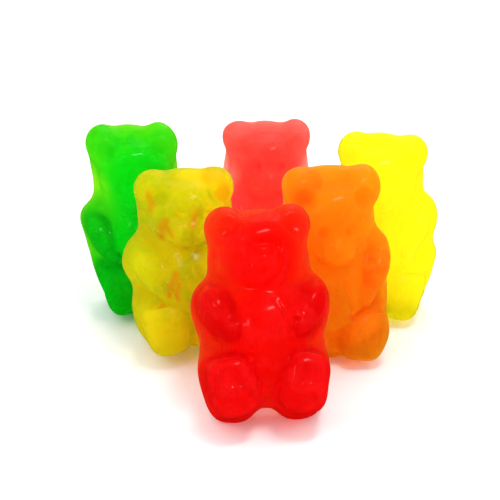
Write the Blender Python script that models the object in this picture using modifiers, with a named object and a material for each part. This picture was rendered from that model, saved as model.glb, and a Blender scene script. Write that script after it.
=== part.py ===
"""Six gummy bears that stand close together as a small group, one of them leaning back.

All six are casts of one mould, so one recipe makes them. A cast is described in millimetres in the
mould's own frame: x runs across the body, z up along it, the flat back lies at y = 0 and the belly
points towards -y. Real casts differ a little, so each bear has its own pose, size and fullness.
The group stands on z = 0, with the origin under the middle of its bounding box.
"""
import math

import bmesh
import bpy
from mathutils import Euler, Matrix, Vector

MM = 0.001
GROUP_NAME = "gummy_bears"

# Rounded back half of a cast: ellipsoids as (centre, half sizes, degrees its top leans outwards).
BACK = {
    "head": ((0.0, -1.0, 16.4), (4.9, 3.0, 4.25), 0.0),
    "neck": ((0.0, -0.9, 13.4), (5.0, 2.8, 3.4), 0.0),
    "torso": ((0.0, -1.0, 8.4), (6.0, 3.0, 7.0), 0.0),
}
BACK_PAIRS = {
    "ear": ((3.3, -1.9, 19.15), (1.95, 2.6, 1.95), 0.0),
    "hip": ((3.45, -1.1, 4.6), (2.95, 3.0, 4.7), 12.0),
}

# Raised front: half ellipsoids whose outline is carried straight on into the body behind them.
FRONT = {
    "skull": ((0.0, -3.4, 16.0), (4.35, 3.3, 3.7), 0.0),
    "brow": ((0.0, -4.6, 17.5), (3.3, 1.9, 2.0), 0.0),
    "belly": ((0.0, -4.0, 8.2), (4.3, 3.9, 5.0), 0.0),
    "chest": ((0.0, -3.6, 12.4), (3.6, 2.3, 2.6), 0.0),
}
FRONT_PAIRS = {
    "ear_front": ((3.3, -3.0, 18.95), (1.8, 2.0, 1.8), 0.0),
    "leg": ((3.55, -4.3, 3.55), (2.65, 4.2, 3.1), 8.0),
}
# These are apart from the rest, as they sit higher or lower from bear to bear.
CROWN = ((0.0, -1.3, 18.6), (3.6, 2.4, 1.95), 0.0)
SEAT = ((0.0, -1.4, 3.6), (3.0, 2.8, 2.4), 0.0)
SEAT_FILLS = Vector((0.0, -1.6, -1.0))
SHOULDER = ((3.9, -1.1, 11.0), (2.95, 3.0, 3.7), 0.0)
ARM_PAIRS = {
    "arm": ((4.35, -3.7, 10.6), (1.75, 2.9, 3.0), 28.0),
    "paw": ((3.15, -5.0, 9.0), (1.35, 2.2, 1.3), 0.0),
}
FACE = {
    "muzzle": ((0.0, -5.6, 14.9), (2.15, 1.95, 1.95), 0.0),
    "nose": ((0.0, -7.05, 15.5), (0.75, 0.6, 0.45), 0.0),
}
EYE = ((1.5, -6.9, 16.75), (0.5, 0.75, 0.5), 0.0)
EAR_HOLLOW = ((3.35, -5.45, 19.1), (1.0, 0.85, 1.0), 0.0)

MOULD_DRAFT = 0.035       # widening of the raised front for each mm towards the back
FRONT_REACH = 3.0         # mm that the front's straight sides run back into the body
BACK_SLAB = (20.0, 6.0, 30.0)

# Heights on the body in mm where a cast can be fuller, each with the height range it fades over.
FULLNESS_BANDS = {
    "head": (17.5, 3.0), "neck": (14.2, 1.6), "arms": (11.0, 2.2), "waist": (7.2, 1.4), "legs": (3.5, 2.0),
}
FOOT_PIVOT = Vector((0.0, -4.0, 0.0))

# For each bear: its place on the floor in mm, its turn to its left and its lean back in degrees, how
# far it slumps sideways for each mm of height, its width and height beside the mould's, how far its
# face and its arms sit lower in mm, how far in mm the jelly fills up the gap between its ears
# and, down and forwards, the gap between its legs, and its fullness.
BEARS = {
    "red_bear": {
        "place": (1.78, -24.65), "turn": 6.3, "lean": 29.5, "slump": 0.005,
        "width": 0.994, "height": 1.003, "face_drop": 0.0, "arm_drop": 0.0,
        "crown_rise": 0.0, "seat_fill": 0.1,
        "fullness": {"head": 0.0, "neck": 0.01, "arms": 0.02, "waist": 0.0, "legs": -0.02},
        "colour": (0.9, 0.008, 0.004),
    },
    "yellow_green_bear": {
        "place": (-5.38, -8.92), "turn": 10.6, "lean": 11.3, "slump": -0.026,
        "width": 0.972, "height": 0.925, "face_drop": 0.0, "arm_drop": 0.6,
        "crown_rise": 0.5, "seat_fill": 0.8,
        "fullness": {"head": 0.02, "neck": 0.03, "arms": 0.07, "waist": 0.0, "legs": 0.0},
        "colour": (0.58, 0.58, 0.012),
    },
    "orange_bear": {
        "place": (8.09, -9.35), "turn": 6.3, "lean": 1.4, "slump": 0.022,
        "width": 0.974, "height": 0.985, "face_drop": 1.0, "arm_drop": 0.7,
        "crown_rise": 0.5, "seat_fill": 1.25,
        "fullness": {"head": -0.04, "neck": 0.04, "arms": 0.01, "waist": 0.07, "legs": 0.03},
        "colour": (1.0, 0.22, 0.008),
    },
    "green_bear": {
        "place": (-10.95, 1.3), "turn": 8.5, "lean": 3.8, "slump": -0.085,
        "width": 0.922, "height": 1.008, "face_drop": 1.0, "arm_drop": 1.8,
        "crown_rise": 0.2, "seat_fill": 0.8,
        "fullness": {"head": 0.04, "neck": 0.02, "arms": 0.08, "waist": 0.05, "legs": -0.04},
        "colour": (0.025, 0.78, 0.01),
    },
    "pink_bear": {
        "place": (1.56, 4.91), "turn": 4.2, "lean": 4.7, "slump": 0.03,
        "width": 0.955, "height": 0.958, "face_drop": 0.0, "arm_drop": 0.0,
        "crown_rise": 0.1, "seat_fill": 0.0,
        "fullness": {"head": -0.04, "neck": 0.05, "arms": 0.0, "waist": 0.0, "legs": 0.0},
        "colour": (0.99, 0.055, 0.04),
    },
    "yellow_bear": {
        "place": (13.76, 0.55), "turn": -9.5, "lean": 2.3, "slump": 0.005,
        "width": 0.915, "height": 0.976, "face_drop": 0.0, "arm_drop": 0.0,
        "crown_rise": 0.4, "seat_fill": 0.3,
        "fullness": {"head": 0.0, "neck": 0.0, "arms": 0.0, "waist": 0.13, "legs": -0.02},
        "colour": (0.99, 0.95, 0.01),
    },
}
GROUP_CENTRE = (0.889, -8.424)  # middle of the group's bounding box before it is moved to the origin

VOXEL = 0.30 * MM
SMOOTHING_STEPS = 6
KEPT_FACES = 0.085
SOLE_DEPTH = 0.35 * MM    # height of the round sole that the flat spot takes away
FLOOR_CUTTER_SIZE = 0.12


def clear_scene():
    for obj in list(bpy.data.objects):
        bpy.data.objects.remove(obj, do_unlink=True)


def new_collection(name):
    collection = bpy.data.collections.new(name)
    bpy.context.scene.collection.children.link(collection)
    return collection


def jelly_material(name, colour):
    material = bpy.data.materials.new(name)
    material.use_nodes = True
    shader = material.node_tree.nodes["Principled BSDF"]
    shader.inputs["Base Color"].default_value = (*colour, 1.0)
    shader.inputs["Roughness"].default_value = 0.2
    shader.inputs["Metallic"].default_value = 0.0
    shader.inputs["IOR"].default_value = 1.45
    material.diffuse_color = (*colour, 1.0)
    return material


def moved(piece, shift):
    centre, half, turn = piece
    return tuple(c + s for c, s in zip(centre, shift)), half, turn


def both_sides(piece):
    """The piece and its mirror image across the middle of the body."""
    (x, y, z), half, turn = piece
    return [((x, y, z), half, turn), ((-x, y, z), half, -turn)]


def add_ellipsoid(mesh, piece, drawn_back=False):
    """Adds an ellipsoid in mm. One that is drawn back has straight sides behind its widest section."""
    centre, half, turn = piece
    made = bmesh.ops.create_uvsphere(mesh, u_segments=32, v_segments=16, radius=1.0)
    upright = Matrix.Rotation(math.radians(90.0), 4, "X")
    bmesh.ops.transform(mesh, matrix=upright, verts=made["verts"])
    spin = Matrix.Rotation(math.radians(turn), 3, "Y")
    for vert in made["verts"]:
        point = Vector(size * along for size, along in zip(half, vert.co))
        if drawn_back and point.y > 0.001:
            widening = 1.0 + MOULD_DRAFT * FRONT_REACH
            point = Vector((point.x * widening, FRONT_REACH, point.z * widening))
        vert.co = spin @ point + Vector(centre)


def shaped(point, bear):
    """A point of the mould in mm as it lies in this bear, in metres from the pivot under its feet."""
    fuller = 1.0
    for band, (height, reach) in FULLNESS_BANDS.items():
        fuller += bear["fullness"][band] * math.exp(-((point.z - height) / reach) ** 2)
    deep = (bear["width"] + bear["height"]) / 2
    about_feet = Vector((point.x * fuller + point.z * bear["slump"], point.y, point.z)) - FOOT_PIVOT
    return MM * Vector((about_feet.x * bear["width"], about_feet.y * deep, about_feet.z * bear["height"]))


def mesh_object(name, mesh, bear, collection):
    for vert in mesh.verts:
        vert.co = shaped(vert.co, bear)
    data = bpy.data.meshes.new(name)
    mesh.to_mesh(data)
    mesh.free()
    obj = bpy.data.objects.new(name, data)
    collection.objects.link(obj)
    return obj


def body_shapes(name, bear, collection):
    mesh = bmesh.new()
    crown = moved(CROWN, (0.0, 0.0, bear["crown_rise"]))
    seat = moved(SEAT, bear["seat_fill"] * SEAT_FILLS)
    for piece in [*BACK.values(), crown, seat]:
        add_ellipsoid(mesh, piece)
    arm_shift = (0.0, 0.0, -bear["arm_drop"])
    for piece in [*BACK_PAIRS.values(), moved(SHOULDER, arm_shift)]:
        for side in both_sides(piece):
            add_ellipsoid(mesh, side)
    for piece in FRONT.values():
        add_ellipsoid(mesh, piece, drawn_back=True)
    for piece in [*FRONT_PAIRS.values(), *(moved(arm, arm_shift) for arm in ARM_PAIRS.values())]:
        for side in both_sides(piece):
            add_ellipsoid(mesh, side, drawn_back=True)
    for piece in FACE.values():
        add_ellipsoid(mesh, moved(piece, (0.0, 0.0, -bear["face_drop"])), drawn_back=True)
    return mesh_object(name, mesh, bear, collection)


def mould_cutter(name, bear, collection):
    """What the mould leaves out: all behind the flat back, the hollows of the ears and the eyes."""
    mesh = bmesh.new()
    slab = Matrix.Translation((0.0, BACK_SLAB[1] / 2, BACK_SLAB[2] / 3)) @ Matrix.Diagonal((*BACK_SLAB, 1.0))
    bmesh.ops.create_cube(mesh, size=1.0, matrix=slab)
    for side in both_sides(EAR_HOLLOW) + both_sides(moved(EYE, (0.0, 0.0, -bear["face_drop"]))):
        add_ellipsoid(mesh, side)
    return mesh_object(name, mesh, bear, collection)


def floor_cutter(collection):
    mesh = bmesh.new()
    below = Matrix.Translation((0.0, 0.0, -FLOOR_CUTTER_SIZE / 2))
    bmesh.ops.create_cube(mesh, size=FLOOR_CUTTER_SIZE, matrix=below)
    data = bpy.data.meshes.new("floor_cutter")
    mesh.to_mesh(data)
    mesh.free()
    obj = bpy.data.objects.new("floor_cutter", data)
    collection.objects.link(obj)
    return obj


def hide_cutter(obj):
    obj.hide_render = True
    obj.display_type = "WIRE"


def add_remesh(obj):
    remesh = obj.modifiers.new("one_skin", "REMESH")
    remesh.mode = "VOXEL"
    remesh.voxel_size = VOXEL
    remesh.use_smooth_shade = True


def add_cut(obj, name, cutter):
    cut = obj.modifiers.new(name, "BOOLEAN")
    cut.operation = "DIFFERENCE"
    cut.object = cutter


def lowest_point(obj):
    bpy.context.view_layer.update()
    evaluated = obj.evaluated_get(bpy.context.evaluated_depsgraph_get())
    data = evaluated.to_mesh()
    lowest = min((obj.matrix_world @ vert.co).z for vert in data.vertices)
    evaluated.to_mesh_clear()
    return lowest


def build_bear(name, bear, parts, cutters, floor):
    body = body_shapes(name, bear, parts)
    mould = mould_cutter(name + "_mould_cutter", bear, cutters)
    hide_cutter(mould)
    turn = Euler((0.0, 0.0, math.radians(bear["turn"]))).to_matrix()
    lean = Euler((math.radians(-bear["lean"]), 0.0, 0.0)).to_matrix()
    body.rotation_euler = (turn @ lean).to_euler()
    place = [MM * (at - middle) for at, middle in zip(bear["place"], GROUP_CENTRE)]
    body.location = (place[0], place[1], 0.0)
    mould.parent = body

    add_remesh(body)
    add_cut(body, "mould", mould)
    add_remesh(body)
    smooth = body.modifiers.new("soft_edges", "SMOOTH")
    smooth.factor = 0.5
    smooth.iterations = SMOOTHING_STEPS
    thin = body.modifiers.new("fewer_faces", "DECIMATE")
    thin.ratio = KEPT_FACES
    body.location.z = -lowest_point(body) - SOLE_DEPTH
    add_cut(body, "flat_soles", floor)
    body.data.materials.append(jelly_material(name.replace("_bear", "_jelly"), bear["colour"]))


def main():
    clear_scene()
    parts = new_collection(GROUP_NAME)
    cutters = new_collection("cutters")
    floor = floor_cutter(cutters)
    hide_cutter(floor)
    for name, bear in BEARS.items():
        build_bear(name, bear, parts, cutters, floor)


main()
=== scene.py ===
"""Six gummy bears on a pale floor, dressed over the CAD solids.

Each bear is a smooth shape made from blended ellipsoids, close to the ones the solids have, in millimetres
in the mould's frame: x across the body, z up along it, the flat back at y = 0, the belly towards -y.
A closed mesh is drawn round it, and then it is leant, turned and stood on the floor at z = 0.
"""
import math

import bpy
import numpy as np
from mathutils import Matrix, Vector


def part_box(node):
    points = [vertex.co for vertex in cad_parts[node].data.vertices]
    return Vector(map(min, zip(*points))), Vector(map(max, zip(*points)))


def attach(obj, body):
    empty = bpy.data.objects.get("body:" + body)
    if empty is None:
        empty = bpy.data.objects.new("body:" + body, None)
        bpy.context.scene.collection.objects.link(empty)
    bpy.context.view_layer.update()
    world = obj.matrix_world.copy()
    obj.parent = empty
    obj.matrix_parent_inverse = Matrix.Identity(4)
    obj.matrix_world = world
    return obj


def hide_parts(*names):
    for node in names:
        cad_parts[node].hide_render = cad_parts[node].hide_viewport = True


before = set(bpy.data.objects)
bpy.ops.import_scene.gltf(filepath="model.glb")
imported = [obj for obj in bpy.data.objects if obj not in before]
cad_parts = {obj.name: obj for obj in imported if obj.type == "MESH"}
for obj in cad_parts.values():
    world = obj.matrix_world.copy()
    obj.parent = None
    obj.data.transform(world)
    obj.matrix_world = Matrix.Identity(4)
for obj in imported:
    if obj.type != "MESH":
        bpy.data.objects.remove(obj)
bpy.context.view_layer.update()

MM = 0.001
CELL = 0.16               # mm, size of the mesh's faces
SKIN = 0.09               # mm that the jelly lies inside the blended ellipsoids
MOULD_DRAFT = 0.035       # mm that a raised shape widens for each mm towards the back
SOLE_DEPTH = 0.35         # mm of the feet that is worn flat
FRONT_OF_LEGS = -8.15     # mm, where the legs' rounded fronts are worn flat
WOBBLE = 0.022            # mm of each wave in the unevenness of the cast
WOBBLE_WAVES = 7
WOBBLE_LENGTHS = (2.6, 6.5)   # mm, shortest and longest wave
MOULD_LOW = np.array([-8.2, -10.2, -0.9])
MOULD_HIGH = np.array([8.2, 0.6, 22.4])
FOOT_PIVOT = np.array([0.0, -4.0, 0.0])
GROUP_CENTRE = np.array([0.889, -8.424])

# Height and reach in mm of each band that can be fuller or slimmer on a bear.
FULLNESS_BANDS = {
    "head": (17.5, 3.0),
    "neck": (14.2, 1.6),
    "arms": (11.0, 2.2),
    "waist": (7.2, 1.4),
    "legs": (3.5, 2.0),
}

# Each bear as in the solids: its place in mm, its turn and its lean back in degrees, how far it slumps
# sideways for each mm of height, its width and height beside the mould's, how far its face and arms sit
# lower, how far the jelly fills the gaps between its ears and its legs, in mm, and its fullness.
BEARS = {
    "red_bear": {
        "place": (1.78, -24.65), "turn": 6.3, "lean": 29.5, "slump": 0.005,
        "width": 0.994, "height": 1.003, "face_drop": 0.0, "arm_drop": 0.0,
        "crown_rise": 0.0, "seat_fill": 0.1,
        "fullness": {"head": 0.0, "neck": 0.01, "arms": 0.02, "waist": 0.0, "legs": -0.02},
    },
    "yellow_green_bear": {
        "place": (-5.38, -8.92), "turn": 10.6, "lean": 11.3, "slump": -0.026,
        "width": 0.972, "height": 0.925, "face_drop": 0.0, "arm_drop": 0.6,
        "crown_rise": 0.5, "seat_fill": 0.8,
        "fullness": {"head": 0.02, "neck": 0.03, "arms": 0.07, "waist": 0.0, "legs": 0.0},
    },
    "orange_bear": {
        "place": (8.09, -9.35), "turn": 6.3, "lean": 1.4, "slump": 0.022,
        "width": 0.974, "height": 0.985, "face_drop": 1.0, "arm_drop": 0.7,
        "crown_rise": 0.5, "seat_fill": 1.25,
        "fullness": {"head": -0.04, "neck": 0.04, "arms": 0.01, "waist": 0.07, "legs": 0.03},
    },
    "green_bear": {
        "place": (-10.95, 1.3), "turn": 8.5, "lean": 3.8, "slump": -0.085,
        "width": 0.922, "height": 1.008, "face_drop": 1.0, "arm_drop": 1.8,
        "crown_rise": 0.2, "seat_fill": 0.8,
        "fullness": {"head": 0.04, "neck": 0.02, "arms": 0.08, "waist": 0.05, "legs": -0.04},
    },
    "pink_bear": {
        "place": (1.56, 4.91), "turn": 4.2, "lean": 4.7, "slump": 0.03,
        "width": 0.955, "height": 0.958, "face_drop": 0.0, "arm_drop": 0.0,
        "crown_rise": 0.1, "seat_fill": 0.0,
        "fullness": {"head": -0.04, "neck": 0.05, "arms": 0.0, "waist": 0.0, "legs": 0.0},
    },
    "yellow_bear": {
        "place": (13.76, 0.55), "turn": -9.5, "lean": 2.3, "slump": 0.005,
        "width": 0.915, "height": 0.976, "face_drop": 0.0, "arm_drop": 0.0,
        "crown_rise": 0.4, "seat_fill": 0.3,
        "fullness": {"head": 0.0, "neck": 0.0, "arms": 0.0, "waist": 0.13, "legs": -0.02},
    },
}

# Jelly colours in linear light: at thin rims, painted light shining through the thin jelly; through the
# body;
# on the arms and legs, painted shading of the raised lobes; in the slow clouds of colour; towards the
# feet;
# on the thin web beside the neck, painted light shining through it; and of its shine. Clarity is the share
# of light that passes straight through, and cloudiness how strong the clouds are.
JELLY = {
    "red_bear": {
        "slot": "red_jelly", "rim_glow": (1.0, 0.050, 0.010), "body": (0.96, 0.0055, 0.0035),
        "limb_shading": (0.72, 0.0020, 0.0040), "clouds": (1.0, 0.013, 0.014), "feet": (0.82, 0.005, 0.004),
        "web_glow": (1.0, 0.050, 0.008), "shine": (1.0, 0.10, 0.11), "clarity": 0.62, "cloudiness": 0.6,
    },
    "yellow_green_bear": {
        "slot": "yellow_green_jelly", "rim_glow": (1.0, 0.66, 0.008), "body": (0.88, 0.70, 0.006),
        "limb_shading": (0.93, 0.74, 0.007), "clouds": (0.62, 0.61, 0.006), "feet": (1.0, 0.66, 0.008),
        "web_glow": (1.0, 0.60, 0.008), "shine": (1.0, 0.92, 0.22), "clarity": 0.55, "cloudiness": 0.9,
    },
    "orange_bear": {
        "slot": "orange_jelly", "rim_glow": (1.0, 0.31, 0.009), "body": (1.0, 0.255, 0.007),
        "limb_shading": (1.0, 0.16, 0.007), "clouds": (1.0, 0.29, 0.009), "feet": (1.0, 0.40, 0.009),
        "web_glow": (1.0, 0.33, 0.009), "shine": (1.0, 0.48, 0.10), "clarity": 0.62, "cloudiness": 0.6,
    },
    "green_bear": {
        "slot": "green_jelly", "rim_glow": (0.07, 0.66, 0.006), "body": (0.003, 0.66, 0.006),
        "limb_shading": (0.001, 0.34, 0.005), "clouds": (0.006, 0.54, 0.007), "feet": (0.003, 0.55, 0.006),
        "web_glow": (0.22, 0.80, 0.008), "shine": (0.24, 1.0, 0.18), "clarity": 0.62, "cloudiness": 0.6,
    },
    "pink_bear": {
        "slot": "pink_jelly", "rim_glow": (1.0, 0.125, 0.105), "body": (1.0, 0.043, 0.030),
        "limb_shading": (1.0, 0.055, 0.052), "clouds": (1.0, 0.070, 0.055), "feet": (1.0, 0.050, 0.035),
        "web_glow": (1.0, 0.36, 0.31), "shine": (1.0, 0.38, 0.38), "clarity": 0.62, "cloudiness": 0.6,
    },
    "yellow_bear": {
        "slot": "yellow_jelly", "rim_glow": (1.0, 0.84, 0.009), "body": (1.0, 0.90, 0.009),
        "limb_shading": (1.0, 0.88, 0.009), "clouds": (1.0, 0.85, 0.009), "feet": (1.0, 0.92, 0.009),
        "web_glow": (1.0, 0.88, 0.009), "shine": (1.0, 0.97, 0.18), "clarity": 0.62, "cloudiness": 0.6,
    },
}

# What is the same all over every jelly. Lengths are in metres.
JELLY_SHADER = {
    "IOR": 1.13,
    "Specular IOR Level": 0.1,
    "Coat Weight": 0.04,
    "Coat IOR": 2.2,
    "Coat Roughness": 0.16,
    "Subsurface Weight": 1.0,
    "Subsurface Radius": (1.0, 0.8, 0.6),
    "Subsurface Scale": 0.009,
}
WAVE_DEPTH = 0.00016
CRINKLE_DEPTH = 0.00024
GRAIN_DEPTH = 0.00001

# The stage, in metres. The floor lies just under the feet.
FLOOR_GREY = 0.93
FLOOR_HALF = 1.5
FLOOR_LEVEL = -0.00002
SURROUND_STRENGTH = 1.2
LAMPS_AIM = (0.0, 0.0, 0.008)

CAMERA_ELEVATION = 25.0   # degrees above the floor
CAMERA_DISTANCE = 0.163   # metres from what it looks at
CAMERA_LENS = 108.0       # mm, on a sensor 36 mm wide
CAMERA_TARGET_MM = (-0.93, 8.42, 8.0)

FIRST_SEED = 11

# Amber streaks that lie in the yellow-green jelly: their colour, and for each one both ends and the
# radius, in mm in the mould's frame.
AMBER = (1.0, 0.30, 0.006)
STREAKS = [
    ((-3.95, -4.6, 18.9), (-3.9, -4.3, 17.0), 0.12),
    ((-2.6, -5.9, 16.2), (-3.2, -4.6, 14.0), 0.20),
    ((-2.7, -5.8, 16.0), (-2.1, -6.2, 14.6), 0.10),
    ((0.3, -6.4, 17.1), (0.05, -7.3, 15.6), 0.08),
    ((-2.2, -6.8, 10.3), (-2.95, -6.95, 7.8), 0.14),
    ((-1.8, -7.2, 9.2), (-2.2, -7.2, 7.4), 0.06),
    ((-4.0, -6.0, 6.6), (-4.2, -6.0, 5.6), 0.10),
]

# Creases on single bears, as chains of points in mm in the mould's frame.
CREASES = {
    "red_bear": [
        [(-2.4, -6.55, 17.15), (-0.4, -6.75, 16.95), (1.6, -6.6, 17.05)],
        [(0.9, -6.8, 11.6), (1.45, -7.2, 10.3), (1.9, -7.4, 9.0), (2.05, -7.4, 7.6)],
        [(4.4, -5.8, 8.7), (3.1, -6.6, 7.9), (2.2, -7.3, 7.4)],
        [(2.4, -7.0, 10.6), (2.8, -6.8, 9.6), (2.5, -7.0, 8.7)],
    ],
    "orange_bear": [
        [(0.85, -7.3, 10.7), (1.5, -7.6, 8.5), (1.95, -7.0, 6.1)],
        [(-0.9, -7.4, 9.9), (-1.3, -7.6, 8.9)],
    ],
    "yellow_green_bear": [
        [(-4.2, -3.9, 16.0), (-2.6, -5.3, 13.6), (-0.4, -5.9, 12.9)],
        [(-3.4, -6.6, 9.0), (-2.4, -7.2, 7.4)],
    ],
    "green_bear": [
        [(-3.2, -6.6, 8.0), (-2.2, -7.2, 6.9)],
    ],
}


def ellipsoid(points, centre, half, power=2):
    """Close to the distance in mm from an ellipsoid's surface, negative inside. Over 2 it is squarer."""
    scaled = np.abs(points - np.array(centre)) / np.array(half)
    reach = (scaled ** power).sum(-1) ** (1.0 / power) + 1e-9
    slope = np.sqrt(((scaled ** (power - 1) / np.array(half)) ** 2).sum(-1)) + 1e-9
    return reach ** (power - 1) * (reach - 1.0) / slope


def leaning(points, centre, half, outwards, power=2):
    """An ellipsoid whose top leans away from the middle by so many degrees."""
    angle = math.radians(outwards)
    x, y, z = np.moveaxis(points - np.array(centre), -1, 0)
    across = math.cos(angle) * x - math.sin(angle) * z
    along = math.sin(angle) * x + math.cos(angle) * z
    return ellipsoid(np.stack([across, y, along], -1), (0.0, 0.0, 0.0), half, power)


def raised(points, centre, half, outwards=0.0, power=2):
    """The front half of an ellipsoid, its outline carried straight back and a little wider."""
    offset = points - np.array(centre)
    wider = 1.0 + MOULD_DRAFT * np.clip(offset[..., 1], 0.0, None)
    front = np.minimum(offset[..., 1], 0.0)
    drawn = np.stack([offset[..., 0] / wider, front, offset[..., 2] / wider], -1)
    return leaning(drawn, (0.0, 0.0, 0.0), half, outwards, power)


def merge(first, second, soft):
    """Both shapes as one, with the join rounded over so many mm."""
    share = np.clip(0.5 + 0.5 * (second - first) / soft, 0.0, 1.0)
    return second + (first - second) * share - soft * share * (1.0 - share)


def carve(solid, cutter, soft):
    """The solid without the cutter."""
    return -merge(-solid, cutter, soft)


def keep_within(solid, limit, soft):
    """What the solid and the limit share."""
    return -merge(-solid, -limit, soft)


def groove(points, start, end, radius):
    """Distance in mm from a round bar between two points."""
    start, end = np.array(start), np.array(end)
    along = end - start
    share = np.clip(((points - start) @ along) / (along @ along), 0.0, 1.0)
    offset = points - start - share[..., None] * along
    return np.sqrt((offset * offset).sum(-1)) - radius


def wobble(points, seed):
    """Slow unevenness of a cast, in mm."""
    draw = np.random.default_rng(seed)
    total = np.zeros(points.shape[:-1])
    for _ in range(WOBBLE_WAVES):
        direction = draw.normal(size=3)
        direction *= 2.0 * math.pi / (draw.uniform(*WOBBLE_LENGTHS) * np.linalg.norm(direction))
        total += WOBBLE * np.sin(points @ direction + draw.uniform(0.0, 2.0 * math.pi))
    return total


def both_sides(points):
    """The points with the left side folded onto the right."""
    folded = points.copy()
    folded[..., 0] = np.abs(points[..., 0])
    return folded


def lobes(sides, bear):
    """Distances from the raised arms, paws and legs."""
    drop = bear["arm_drop"]
    arm = raised(sides, (4.2, -3.7, 10.6 - drop), (1.75, 2.9, 3.0), outwards=28.0)
    paw = raised(sides, (3.15, -5.0, 9.0 - drop), (1.35, 2.2, 1.3))
    leg = raised(sides, (3.5, -4.3, 3.6), (2.5, 4.2, 3.05), outwards=14.0, power=3)
    return arm, paw, leg


def back_plate(points, sides, bear):
    """The flat back half, which the raised front lies on."""
    seat_fill = bear["seat_fill"]
    head = ellipsoid(points, (0.0, -1.0, 16.4), (4.9, 3.0, 4.25))
    ears = ellipsoid(sides, (3.3, -1.9, 19.15), (1.95, 2.6, 1.95))
    neck = ellipsoid(points, (0.0, -0.9, 13.4), (5.0, 2.8, 3.4))
    torso = ellipsoid(points, (0.0, -1.0, 8.4), (6.0, 3.0, 7.0))
    crown = ellipsoid(points, (0.0, -1.3, 18.6 + bear["crown_rise"]), (3.6, 2.4, 1.95))
    seat = ellipsoid(points, (0.0, -1.4 - 1.6 * seat_fill, 3.6 - seat_fill), (3.0, 2.8, 2.4))
    shoulders = ellipsoid(sides, (3.9, -1.1, 11.0 - bear["arm_drop"]), (2.95, 3.0, 3.7))
    hips = leaning(sides, (3.45, -1.1, 4.6), (2.95, 3.0, 4.7), outwards=12.0)
    solid = merge(head, ears, 0.7)
    solid = merge(solid, neck, 1.2)
    solid = merge(solid, torso, 1.2)
    solid = merge(solid, crown, 0.7)
    solid = merge(solid, seat, 0.7)
    solid = merge(solid, shoulders, 1.0)
    return merge(solid, hips, 0.7)


def raised_front(solid, points, sides, bear):
    """The head, belly, chest and limbs that stand out from the back plate."""
    skull = raised(points, (0.0, -3.4, 16.0), (4.35, 3.3, 3.7))
    ears = raised(sides, (3.2, -2.9, 18.65), (1.65, 1.8, 1.6))
    brow = raised(points, (0.0, -4.6, 17.5), (3.3, 1.9, 2.0))
    belly = raised(points, (0.0, -4.0, 8.2), (4.3, 3.9, 5.0))
    chest = raised(points, (0.0, -3.6, 12.4), (3.6, 2.3, 2.6))
    arm, paw, leg = lobes(sides, bear)
    solid = merge(solid, skull, 1.1)
    solid = merge(solid, ears, 1.2)
    solid = merge(solid, brow, 1.0)
    solid = merge(solid, belly, 0.8)
    solid = merge(solid, chest, 1.2)
    solid = merge(solid, arm, 0.8)
    solid = merge(solid, paw, 0.6)
    return merge(solid, leg, 0.9)


def bear_field(points, name, seed):
    """Close to the distance from a bear's skin in mm, in the mould's frame."""
    bear = BEARS[name]
    sides = both_sides(points)
    solid = back_plate(points, sides, bear)
    solid = raised_front(solid, points, sides, bear)
    solid = face(solid, points, sides, bear["face_drop"])
    solid = small_marks(solid, sides, bear["arm_drop"])
    for chain in CREASES.get(name, []):
        for start, end in zip(chain, chain[1:]):
            solid = carve(solid, groove(points, start, end, 0.14), 0.25)
    ear_hollow = ellipsoid(sides, (3.35, -5.2, 19.0), (1.1, 0.9, 1.1))
    solid = carve(solid, ear_hollow, 0.6)
    solid = keep_within(solid, points[..., 1], 0.8)
    solid = keep_within(solid, FRONT_OF_LEGS - points[..., 1], 1.0)
    return solid + SKIN + wobble(points, seed)


def face(solid, points, sides, drop):
    """Muzzle with two cheeks, nose, mouth and eyes."""
    muzzle = raised(points, (0.0, -5.6, 14.9 - drop), (2.15, 1.9, 1.95))
    cheeks = raised(sides, (0.85, -6.2, 14.5 - drop), (1.15, 1.4, 1.1))
    nose = raised(points, (0.0, -7.05, 15.5 - drop), (0.75, 0.6, 0.45))
    lip = groove(sides, (0.0, -7.7, 14.7 - drop), (0.0, -7.6, 13.7 - drop), 0.13)
    mouth = groove(sides, (0.0, -7.7, 14.1 - drop), (0.95, -7.35, 13.8 - drop), 0.12)
    eyes = ellipsoid(sides, (1.5, -6.9, 16.75 - drop), (0.5, 0.75, 0.5))
    solid = merge(solid, muzzle, 0.9)
    solid = merge(solid, cheeks, 0.5)
    solid = merge(solid, nose, 0.5)
    solid = carve(solid, lip, 0.2)
    solid = carve(solid, mouth, 0.2)
    return carve(solid, eyes, 0.3)


def small_marks(solid, sides, arm_drop):
    """The lines between the fingers, the folds over the legs and the lines between the toes."""
    for across in (2.75, 3.45):
        start = (across, -7.15, 9.0 - arm_drop)
        end = (across + 0.1, -6.75, 7.9 - arm_drop)
        solid = carve(solid, groove(sides, start, end, 0.12), 0.2)
    fold = [(1.7, -7.4, 6.2), (3.4, -6.4, 6.75), (5.2, -5.3, 6.3)]
    for start, end in zip(fold, fold[1:]):
        solid = carve(solid, groove(sides, start, end, 0.25), 0.3)
    for across in (2.9, 3.7, 4.5):
        start = (across, -8.1, 4.9)
        end = (across + 0.1, -8.15, 3.9)
        solid = carve(solid, groove(sides, start, end, 0.14), 0.25)
    return solid


def crossing_grid(values):
    """Mean place, within each cell, of where the field crosses zero on the cell's edges."""
    cells = np.array(values.shape) - 1
    total = np.zeros((*cells, 3))
    count = np.zeros(cells, int)
    for axis in range(3):
        first, second = [other for other in range(3) if other != axis]
        for u in (0, 1):
            for v in (0, 1):
                start = [0, 0, 0]
                start[first], start[second] = u, v
                end = list(start)
                end[axis] = 1
                near = values[tuple(slice(s, s + c) for s, c in zip(start, cells))]
                far = values[tuple(slice(s, s + c) for s, c in zip(end, cells))]
                crosses = (near < 0) != (far < 0)
                place = np.array(start, float) + np.zeros((*cells, 3))
                place[..., axis] = np.where(crosses, near / np.where(crosses, near - far, 1.0), 0.0)
                total[crosses] += place[crosses]
                count += crosses
    return total, count


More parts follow.
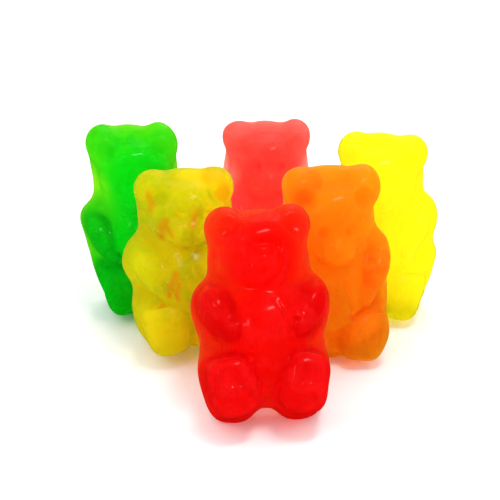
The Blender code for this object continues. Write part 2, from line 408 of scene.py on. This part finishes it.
def skin_mesh(field):
    """Closed quad mesh round field < 0: a vertex in each cell the skin crosses, a face for each edge."""
    sizes = np.ceil((MOULD_HIGH - MOULD_LOW) / CELL).astype(int) + 1
    axes = [MOULD_LOW[i] + CELL * np.arange(sizes[i]) for i in range(3)]
    values = np.empty(sizes)
    for index, x in enumerate(axes[0]):
        y, z = np.meshgrid(axes[1], axes[2], indexing="ij")
        values[index] = field(np.stack([np.full_like(y, x), y, z], -1))
    total, count = crossing_grid(values)
    crossed = count > 0
    number = np.full(count.shape, -1)
    number[crossed] = np.arange(crossed.sum())
    corners = np.stack(np.nonzero(crossed), -1)
    verts = MOULD_LOW + CELL * (corners + total[crossed] / count[crossed][:, None])
    inside = values < 0
    faces = []
    for axis in range(3):
        u, v = (axis + 1) % 3, (axis + 2) % 3
        near = [slice(1, -1)] * 3
        far = [slice(1, -1)] * 3
        near[axis], far[axis] = slice(0, -1), slice(1, None)
        leaves = inside[tuple(near)] & ~inside[tuple(far)]
        enters = ~inside[tuple(near)] & inside[tuple(far)]
        for edges, reverse in ((leaves, False), (enters, True)):
            at = np.stack(np.nonzero(edges), -1)
            around = []
            for du, dv in ((0, 0), (1, 0), (1, 1), (0, 1)):
                cell = at.copy()
                cell[:, u] += du
                cell[:, v] += dv
                around.append(number[cell[:, 0], cell[:, 1], cell[:, 2]])
            face_corners = np.stack(around, -1)
            faces.append(face_corners[:, ::-1] if reverse else face_corners)
    return settle(field, verts), np.concatenate(faces)


def settle(field, verts):
    """Moves each vertex onto the skin along the field's slope."""
    step = 0.02
    for _ in range(2):
        slope = np.empty_like(verts)
        for axis in range(3):
            shift = np.zeros(3)
            shift[axis] = step
            slope[:, axis] = (field(verts + shift) - field(verts - shift)) / (2 * step)
        steepness = np.maximum((slope * slope).sum(-1), 0.2)
        verts = verts - (field(verts) / steepness)[:, None] * slope
    return verts


def turned_about_z(angle):
    cos, sin = math.cos(angle), math.sin(angle)
    return np.array([[cos, -sin, 0], [sin, cos, 0], [0, 0, 1]])


def turned_about_x(angle):
    cos, sin = math.cos(angle), math.sin(angle)
    return np.array([[1, 0, 0], [0, cos, -sin], [0, sin, cos]])


def posed(points, bear):
    """Mould points as they lie in the group, in mm. The bear's sole is worn flat on the floor."""
    fuller = np.ones(len(points))
    for band, (height, reach) in FULLNESS_BANDS.items():
        fuller += bear["fullness"][band] * np.exp(-((points[:, 2] - height) / reach) ** 2)
    x = points[:, 0] * fuller + points[:, 2] * bear["slump"]
    deep = (bear["width"] + bear["height"]) / 2
    about_feet = np.stack([x, points[:, 1], points[:, 2]], -1) - FOOT_PIVOT
    sized = about_feet * np.array([bear["width"], deep, bear["height"]])
    turn, lean = math.radians(bear["turn"]), math.radians(-bear["lean"])
    stood = sized @ (turned_about_z(turn) @ turned_about_x(lean)).T
    stood[:, :2] += np.array(bear["place"]) - GROUP_CENTRE
    stood[:, 2] -= stood[:, 2].min() + SOLE_DEPTH
    stood[:, 2] = np.maximum(stood[:, 2], 0.0)
    return stood


def kept_in_box(points, name):
    """The same points, drawn in where they would pass the box of the bear's solid."""
    low, high = (np.array(corner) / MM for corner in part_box(name))
    start, end = points.min(0), points.max(0)
    drawn = start + (points - start) * np.minimum(1.0, (high - low) / (end - start))
    drawn += np.maximum(low - start, 0.0)
    return drawn + np.minimum(high - drawn.max(0), 0.0)


def thickness(points):
    """How far the jelly reaches in front of the flat back behind each point, from 0 to 1 at 9 mm. Thin
    places get painted light, as if light shone through the thin jelly.
    """
    cell = 0.35
    column = np.floor((points[:, [0, 2]] - MOULD_LOW[[0, 2]]) / cell).astype(int)
    deepest = np.zeros(np.ceil((MOULD_HIGH - MOULD_LOW)[[0, 2]] / cell).astype(int) + 1)
    np.maximum.at(deepest, (column[:, 0], column[:, 1]), -points[:, 1])
    wide, tall = deepest.shape
    for _ in range(2):
        padded = np.pad(deepest, 1, mode="edge")
        deepest = sum(padded[i:i + wide, j:j + tall] for i in range(3) for j in range(3)) / 9
    return np.clip(deepest[column[:, 0], column[:, 1]] / 9.0, 0.0, 1.0)


def limb_shading_share(points, bear):
    """1 on arms, paws and legs, fading to 0 off them: where their painted shading goes."""
    nearest = np.minimum.reduce(lobes(both_sides(points), bear))
    return np.exp(-np.clip(nearest, 0.0, None) / 0.4)


def web_glow_share(points):
    """1 on the thin plate beside the neck, fading to 0 away from it: where painted light shines through
    the web.
    """
    beside = np.clip((np.abs(points[:, 0]) - 3.0) / 1.6, 0.0, 1.0)
    return beside * np.exp(-((points[:, 2] - 14.8) / 1.4) ** 2)


def feet_share(points):
    """0.7 at the feet, fading to 0 at the waist."""
    return 0.7 * np.clip((7.0 - points[:, 2]) / 6.0, 0.0, 1.0)


def streak_share(points):
    """1 on an amber streak, fading softly to 0 beside it."""
    uneven = points + 0.16 * np.sin(1.7 * points[:, [2, 0, 1]])
    nearest = np.minimum.reduce([groove(uneven, start, end, radius) for start, end, radius in STREAKS])
    return 0.75 * np.exp(-(np.clip(nearest, 0.0, None) / 0.3) ** 2)


def add_values(mesh, name, values):
    attribute = mesh.attributes.new(name, "FLOAT", "POINT")
    attribute.data.foreach_set("value", values.astype(np.float32))


def make_bear(name, seed):
    bear = BEARS[name]
    verts, faces = skin_mesh(lambda points: bear_field(points, name, seed))
    mesh = bpy.data.meshes.new(name + "_jelly")
    mesh.from_pydata(MM * kept_in_box(posed(verts, bear), name), [], faces)
    mesh.shade_smooth()
    # Thin jelly is painted lighter by this mask: painted light shining through it.
    add_values(mesh, "thickness", thickness(verts))
    # Painted shading on the arms, paws and legs.
    add_values(mesh, "limb_shading_mask", limb_shading_share(verts, bear))
    # Painted light shining through the thin web beside the neck.
    add_values(mesh, "web_glow", web_glow_share(verts))
    add_values(mesh, "feet", feet_share(verts))
    if name == "yellow_green_bear":
        add_values(mesh, "streak", streak_share(verts))
    piece = bpy.data.objects.new(name + "_jelly", mesh)
    bpy.context.scene.collection.objects.link(piece)
    mesh.materials.append(jelly_material(name))
    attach(piece, "root")
    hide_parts(name)


class Nodes:
    """Short ways to add and join a material's nodes."""

    def __init__(self, material):
        material.use_nodes = True
        self.tree = material.node_tree
        self.shader = self.tree.nodes["Principled BSDF"]

    def join(self, source, target):
        self.tree.links.new(source, target)

    def value(self, name):
        node = self.tree.nodes.new("ShaderNodeAttribute")
        node.attribute_name = name
        return node.outputs["Fac"]

    def noise(self, scale, detail=2.0, distortion=0.0):
        where = self.tree.nodes.new("ShaderNodeTexCoord")
        node = self.tree.nodes.new("ShaderNodeTexNoise")
        node.inputs["Scale"].default_value = scale
        node.inputs["Detail"].default_value = detail
        node.inputs["Distortion"].default_value = distortion
        self.join(where.outputs["Object"], node.inputs["Vector"])
        return node.outputs["Fac"]

    def spread(self, source, low, high, to_low=0.0, to_high=1.0):
        node = self.tree.nodes.new("ShaderNodeMapRange")
        node.interpolation_type = "SMOOTHSTEP"
        self.join(source, node.inputs["Value"])
        limits = {"From Min": low, "From Max": high, "To Min": to_low, "To Max": to_high}
        for socket, number in limits.items():
            node.inputs[socket].default_value = number
        return node.outputs["Result"]

    def times(self, first, second):
        node = self.tree.nodes.new("ShaderNodeMath")
        node.operation = "MULTIPLY"
        self.join(first, node.inputs[0])
        self.join(second, node.inputs[1])
        return node.outputs["Value"]

    def blend(self, share, first, second):
        node = self.tree.nodes.new("ShaderNodeMix")
        node.data_type = "RGBA"
        self.join(share, node.inputs[0])
        for socket, colour in ((node.inputs[6], first), (node.inputs[7], second)):
            if isinstance(colour, tuple):
                socket.default_value = (*colour, 1.0)
            else:
                self.join(colour, socket)
        return node.outputs[2]

    def bump(self, height, depth, normal=None):
        node = self.tree.nodes.new("ShaderNodeBump")
        node.inputs["Strength"].default_value = 1.0
        node.inputs["Distance"].default_value = depth
        self.join(height, node.inputs["Height"])
        if normal is not None:
            self.join(normal, node.inputs["Normal"])
        return node.outputs["Normal"]


def jelly_material(name):
    look = JELLY[name]
    material = bpy.data.materials.new(look["slot"])
    nodes = Nodes(material)
    # Thin rims: painted light shining through the thin jelly.
    thick = nodes.spread(nodes.value("thickness"), 0.32, 0.75)
    colour = nodes.blend(thick, look["rim_glow"], look["body"])
    # Arms, paws and legs: painted shading of the raised lobes.
    limb_shading_mask = nodes.spread(nodes.value("limb_shading_mask"), 0.1, 1.0, 0.0, 0.85)
    colour = nodes.blend(limb_shading_mask, colour, look["limb_shading"])
    colour = nodes.blend(nodes.value("feet"), colour, look["feet"])
    # Thin web beside the neck: painted light shining through it.
    colour = nodes.blend(nodes.value("web_glow"), colour, look["web_glow"])
    clouds = nodes.spread(nodes.noise(260.0, 3.0, 1.2), 0.42, 0.68, 0.0, look["cloudiness"])
    colour = nodes.blend(clouds, colour, look["clouds"])
    if name == "yellow_green_bear":
        colour = nodes.blend(nodes.value("streak"), colour, AMBER)
    nodes.join(colour, nodes.shader.inputs["Base Color"])
    gloss = nodes.spread(nodes.noise(900.0, 3.0), 0.35, 0.7, 0.42, 0.58)
    nodes.join(gloss, nodes.shader.inputs["Roughness"])
    waves = nodes.bump(nodes.noise(480.0, 2.0, 0.6), WAVE_DEPTH)
    patches = nodes.spread(nodes.noise(230.0, 1.0), 0.42, 0.60)
    crinkles = nodes.bump(nodes.times(patches, nodes.noise(950.0, 3.0, 1.6)), CRINKLE_DEPTH, waves)
    grain = nodes.bump(nodes.noise(2600.0, 2.0), GRAIN_DEPTH, crinkles)
    nodes.join(grain, nodes.shader.inputs["Normal"])
    for socket, setting in JELLY_SHADER.items():
        nodes.shader.inputs[socket].default_value = setting
    nodes.shader.inputs["Specular Tint"].default_value = (*look["shine"], 1.0)
    nodes.shader.inputs["Transmission Weight"].default_value = look["clarity"]
    return material


def floor():
    half = FLOOR_HALF
    corners = [(-half, -half, 0.0), (half, -half, 0.0), (half, half, 0.0), (-half, half, 0.0)]
    mesh = bpy.data.meshes.new("floor")
    mesh.from_pydata([Vector(corner) for corner in corners], [], [(0, 1, 2, 3)])
    material = bpy.data.materials.new("pale_floor")
    material.use_nodes = True
    shader = material.node_tree.nodes["Principled BSDF"]
    shader.inputs["Base Color"].default_value = (FLOOR_GREY, FLOOR_GREY, FLOOR_GREY, 1.0)
    shader.inputs["Roughness"].default_value = 0.9
    mesh.materials.append(material)
    ground = bpy.data.objects.new("floor", mesh)
    ground.location.z = FLOOR_LEVEL
    ground.visible_glossy = False
    bpy.context.scene.collection.objects.link(ground)


def softbox(name, place, size, power):
    light = bpy.data.lights.new(name, "AREA")
    light.shape = "RECTANGLE"
    light.size, light.size_y = size
    light.energy = power
    box = bpy.data.objects.new(name, light)
    box.location = place
    box.rotation_euler = (Vector(LAMPS_AIM) - Vector(place)).to_track_quat("-Z", "Y").to_euler()
    bpy.context.scene.collection.objects.link(box)


def lights():
    """A white surround that the jelly doesn't mirror, and three lamps that it does."""
    world = bpy.data.worlds.new("white_studio")
    world.use_nodes = True
    background = world.node_tree.nodes["Background"]
    background.inputs["Color"].default_value = (1.0, 1.0, 1.0, 1.0)
    background.inputs["Strength"].default_value = SURROUND_STRENGTH
    bpy.context.scene.world = world
    world.cycles_visibility.glossy = False
    softbox("key", place=(0.05, -0.05, 0.24), size=(0.08, 0.022), power=0.19)
    softbox("fill", place=(-0.14, -0.14, 0.18), size=(0.04, 0.04), power=0.05)
    softbox("back", place=(0.02, 0.22, 0.15), size=(0.14, 0.14), power=0.08)


def camera():
    elevation = math.radians(CAMERA_ELEVATION)
    target = Vector([MM * part for part in CAMERA_TARGET_MM])
    data = bpy.data.cameras.new("camera")
    data.sensor_width = 36.0
    data.lens = CAMERA_LENS
    data.clip_start = 0.005
    eye = bpy.data.objects.new("camera", data)
    eye.location = target + CAMERA_DISTANCE * Vector((0.0, -math.cos(elevation), math.sin(elevation)))
    eye.rotation_euler = (target - eye.location).to_track_quat("-Z", "Y").to_euler()
    bpy.context.scene.collection.objects.link(eye)
    bpy.context.scene.camera = eye


for number, bear_name in enumerate(BEARS):
    make_bear(bear_name, seed=FIRST_SEED + number)
floor()
lights()
camera()
bpy.context.scene.view_settings.view_transform = "Standard"
